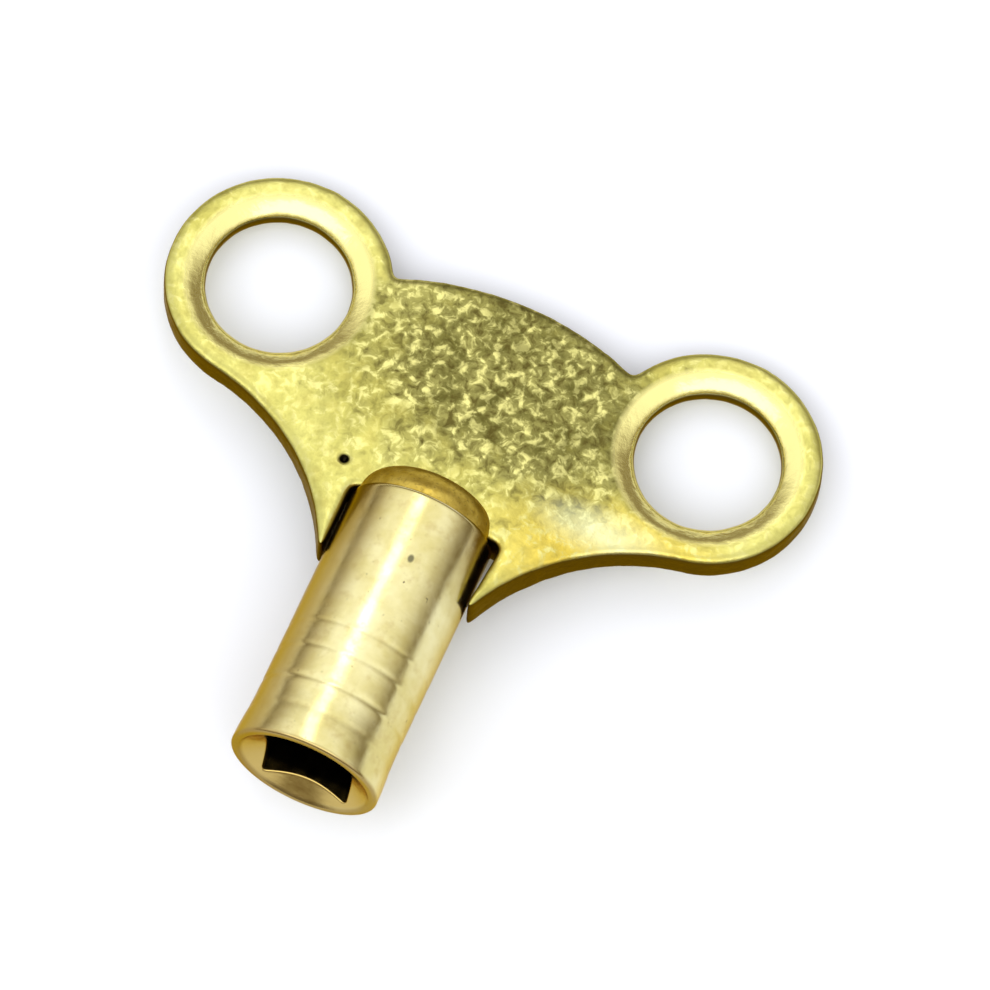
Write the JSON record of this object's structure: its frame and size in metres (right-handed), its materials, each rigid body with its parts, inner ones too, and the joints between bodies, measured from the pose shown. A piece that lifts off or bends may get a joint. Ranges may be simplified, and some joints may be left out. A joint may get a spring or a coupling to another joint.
{
  "type": "radiator bleed key",
  "caption": "Flat clock-type bleed key: a cast brass bow with two finger rings, brazed to a turned brass barrel with a flared mouth and a square socket.",
  "frame": {"origin": "centre of the socket's mouth, on the barrel's axis", "axes": "+Y along the barrel from the mouth to the bow, X along the line of the two finger rings, +Z square to the bow's plate"},
  "size_m": [0.039, 0.0328, 0.0088],
  "materials": {
    "bow_brass": "tumbled cast brass, satin",
    "barrel_brass": "turned and polished brass",
    "braze": "brazing brass, slightly darkened"
  },
  "bodies": {
    "root": {"bow": "bow_brass", "barrel": "barrel_brass", "braze_fillet": "braze"}
  },
  "joints": []
}
